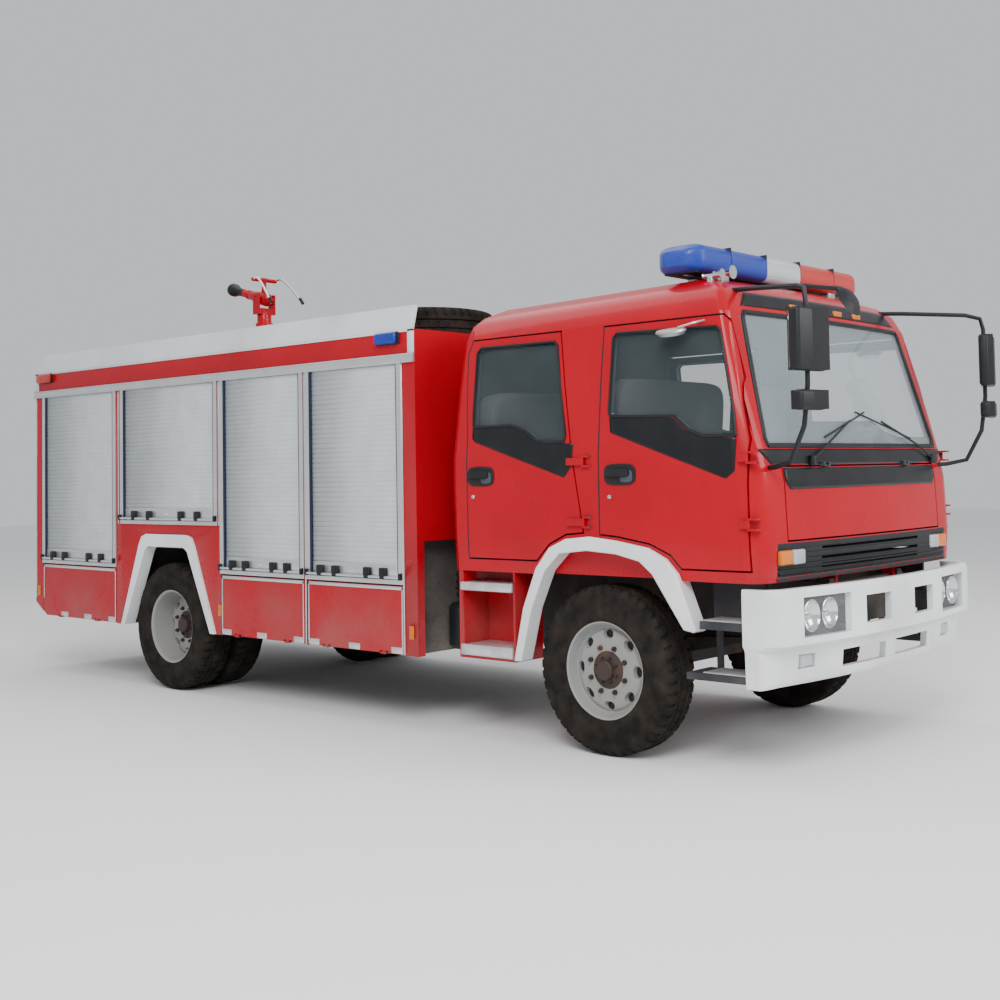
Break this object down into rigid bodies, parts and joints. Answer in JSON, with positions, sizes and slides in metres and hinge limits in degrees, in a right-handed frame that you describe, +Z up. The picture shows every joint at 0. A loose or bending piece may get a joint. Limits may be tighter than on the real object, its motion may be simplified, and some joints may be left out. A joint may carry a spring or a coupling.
{
  "type": "airport fire truck",
  "caption": "Cab-over airport fire truck with crew cab, shuttered equipment body, roof water monitor, ladder and twin rear wheels.",
  "frame": {"origin": "centre of the footprint on the ground", "axes": "+X to the left side of the vehicle, +Y to its rear, +Z up"},
  "size_m": [2.54, 8.1186, 3.4603],
  "materials": {
    "axle_iron": "matt black paint",
    "bare_alloy": "brushed",
    "beacon_lens": "tinted lens",
    "chassis_paint": "satin",
    "coaming_paint": "satin",
    "dark_plastic": "matt",
    "glass": "lightly tinted",
    "lamp_glass": "clear lens",
    "red_paint": "gloss coach paint",
    "rim_paint": "gloss",
    "seat_cloth": "woven",
    "shutter_alloy": "anodised",
    "tyre_rubber": "matt rubber",
    "white_paint": "gloss"
  },
  "bodies": {
    "chassis": {"chassis_frame": "chassis_paint", "front_axle": "axle_iron", "rear_axle": "axle_iron", "engine_block": "chassis_paint", "air_cleaner": "dark_plastic", "battery_box": "dark_plastic", "front_bumper": "white_paint", "headlamp_r": "lamp_glass", "headlamp_l": "lamp_glass", "front_step_r": "dark_plastic", "front_step_l": "dark_plastic", "body_shell": "red_paint", "shutters_r": "shutter_alloy", "shutters_l": "shutter_alloy", "rear_shutter": "shutter_alloy", "rear_flare_r": "white_paint", "rear_flare_l": "white_paint", "roof_coaming": "coaming_paint", "spare_wheel": "tyre_rubber", "rear_ladder": "bare_alloy", "monitor_riser": "red_paint"},
    "cab": {"cab_shell": "red_paint", "windscreen": "glass", "grille": "dark_plastic", "dashboard": "dark_plastic", "light_bar": "beacon_lens", "front_seats": "seat_cloth", "crew_bench": "seat_cloth", "cab_flare_r": "white_paint", "cab_flare_l": "white_paint", "mirror_r": "dark_plastic", "mirror_l": "dark_plastic"},
    "steering_wheel": {"steering_wheel": "dark_plastic"},
    "front_lid": {"front_lid": "red_paint"},
    "monitor_head": {"monitor_head": "red_paint"},
    "monitor_barrel": {"monitor_barrel": "red_paint"},
    "front_door_r": {"front_door_r": "red_paint"},
    "rear_door_r": {"rear_door_r": "red_paint"},
    "front_door_l": {"front_door_l": "red_paint"},
    "rear_door_l": {"rear_door_l": "red_paint"},
    "step_flap_1_l": {"step_flap_1_l": "red_paint"},
    "step_flap_1_r": {"step_flap_1_r": "red_paint"},
    "step_flap_2_l": {"step_flap_2_l": "red_paint"},
    "step_flap_2_r": {"step_flap_2_r": "red_paint"},
    "step_flap_4_l": {"step_flap_4_l": "red_paint"},
    "step_flap_4_r": {"step_flap_4_r": "red_paint"},
    "knuckle_r": {"knuckle_r": "axle_iron"},
    "front_wheel_r": {"front_tyre_r": "tyre_rubber", "front_rim_r": "rim_paint"},
    "rear_wheel_r": {"rear_tyre_outer_r": "tyre_rubber", "rear_tyre_inner_r": "tyre_rubber", "rear_rim_r": "rim_paint"},
    "knuckle_l": {"knuckle_l": "axle_iron"},
    "front_wheel_l": {"front_tyre_l": "tyre_rubber", "front_rim_l": "rim_paint"},
    "rear_wheel_l": {"rear_tyre_outer_l": "tyre_rubber", "rear_tyre_inner_l": "tyre_rubber", "rear_rim_l": "rim_paint"}
  },
  "joints": [
    {"name": "cab_tilt", "type": "hinge", "parent": "chassis", "child": "cab", "pos_m": [0, -3.59, 1], "axis": [1, 0, 0], "range_deg": [0, 45]},
    {"name": "front_door_r_hinge", "type": "hinge", "parent": "cab", "child": "front_door_r", "pos_m": [-1.202, -3.575, 1.8], "axis": [0, 0, 1], "range_deg": [0, 70]},
    {"name": "rear_door_r_hinge", "type": "hinge", "parent": "cab", "child": "rear_door_r", "pos_m": [-1.202, -2.43, 1.8], "axis": [0, 0, 1], "range_deg": [0, 70]},
    {"name": "front_door_l_hinge", "type": "hinge", "parent": "cab", "child": "front_door_l", "pos_m": [1.202, -3.575, 1.8], "axis": [0, 0, -1], "range_deg": [0, 70]},
    {"name": "rear_door_l_hinge", "type": "hinge", "parent": "cab", "child": "rear_door_l", "pos_m": [1.202, -2.43, 1.8], "axis": [0, 0, -1], "range_deg": [0, 70]},
    {"name": "front_lid_hinge", "type": "hinge", "parent": "cab", "child": "front_lid", "pos_m": [0, -3.662, 1.69], "axis": [-1, 0, 0], "range_deg": [0, 65]},
    {"name": "step_flap_1_l_hinge", "type": "hinge", "parent": "chassis", "child": "step_flap_1_l", "pos_m": [1.248, -0.4037, 0.489], "axis": [0, 1, 0], "range_deg": [0, 90]},
    {"name": "step_flap_1_r_hinge", "type": "hinge", "parent": "chassis", "child": "step_flap_1_r", "pos_m": [-1.248, -0.4037, 0.489], "axis": [0, -1, 0], "range_deg": [0, 90]},
    {"name": "step_flap_2_l_hinge", "type": "hinge", "parent": "chassis", "child": "step_flap_2_l", "pos_m": [1.248, 0.6338, 0.489], "axis": [0, 1, 0], "range_deg": [0, 90]},
    {"name": "step_flap_2_r_hinge", "type": "hinge", "parent": "chassis", "child": "step_flap_2_r", "pos_m": [-1.248, 0.6338, 0.489], "axis": [0, -1, 0], "range_deg": [0, 90]},
    {"name": "step_flap_4_l_hinge", "type": "hinge", "parent": "chassis", "child": "step_flap_4_l", "pos_m": [1.248, 3.2225, 0.489], "axis": [0, 1, 0], "range_deg": [0, 90]},
    {"name": "step_flap_4_r_hinge", "type": "hinge", "parent": "chassis", "child": "step_flap_4_r", "pos_m": [-1.248, 3.2225, 0.489], "axis": [0, -1, 0], "range_deg": [0, 90]},
    {"name": "steer_r", "type": "hinge", "parent": "chassis", "child": "knuckle_r", "pos_m": [-0.89, -2.49, 0.502], "axis": [0, 0, 1], "range_deg": [-36, 36]},
    {"name": "front_wheel_r_spin", "type": "hinge", "parent": "knuckle_r", "child": "front_wheel_r", "pos_m": [-0.9975, -2.49, 0.502], "axis": [1, 0, 0], "continuous": true},
    {"name": "rear_wheel_r_spin", "type": "hinge", "parent": "chassis", "child": "rear_wheel_r", "pos_m": [-1, 1.86, 0.502], "axis": [1, 0, 0], "continuous": true},
    {"name": "steer_l", "type": "hinge", "parent": "chassis", "child": "knuckle_l", "pos_m": [0.89, -2.49, 0.502], "axis": [0, 0, 1], "range_deg": [-36, 36]},
    {"name": "front_wheel_l_spin", "type": "hinge", "parent": "knuckle_l", "child": "front_wheel_l", "pos_m": [0.9975, -2.49, 0.502], "axis": [1, 0, 0], "continuous": true},
    {"name": "rear_wheel_l_spin", "type": "hinge", "parent": "chassis", "child": "rear_wheel_l", "pos_m": [1, 1.86, 0.502], "axis": [1, 0, 0], "continuous": true},
    {"name": "steering_column", "type": "hinge", "parent": "cab", "child": "steering_wheel", "pos_m": [0.62, -3.15, 1.8], "axis": [0, 0.5736, 0.8192], "range_deg": [-720, 720]},
    {"name": "monitor_swivel", "type": "hinge", "parent": "chassis", "child": "monitor_head", "pos_m": [0, 2.23, 3.02], "axis": [0, 0, 1], "range_deg": [-170, 170]},
    {"name": "monitor_elevation", "type": "hinge", "parent": "monitor_head", "child": "monitor_barrel", "pos_m": [0, 2.23, 3.27], "axis": [1, 0, 0], "range_deg": [-10, 60]}
  ],
  "couplings": [
    {"joint": "steer_l", "follows": "steer_r", "ratio": 1},
    {"joint": "steering_column", "follows": "steer_r", "ratio": 20}
  ]
}
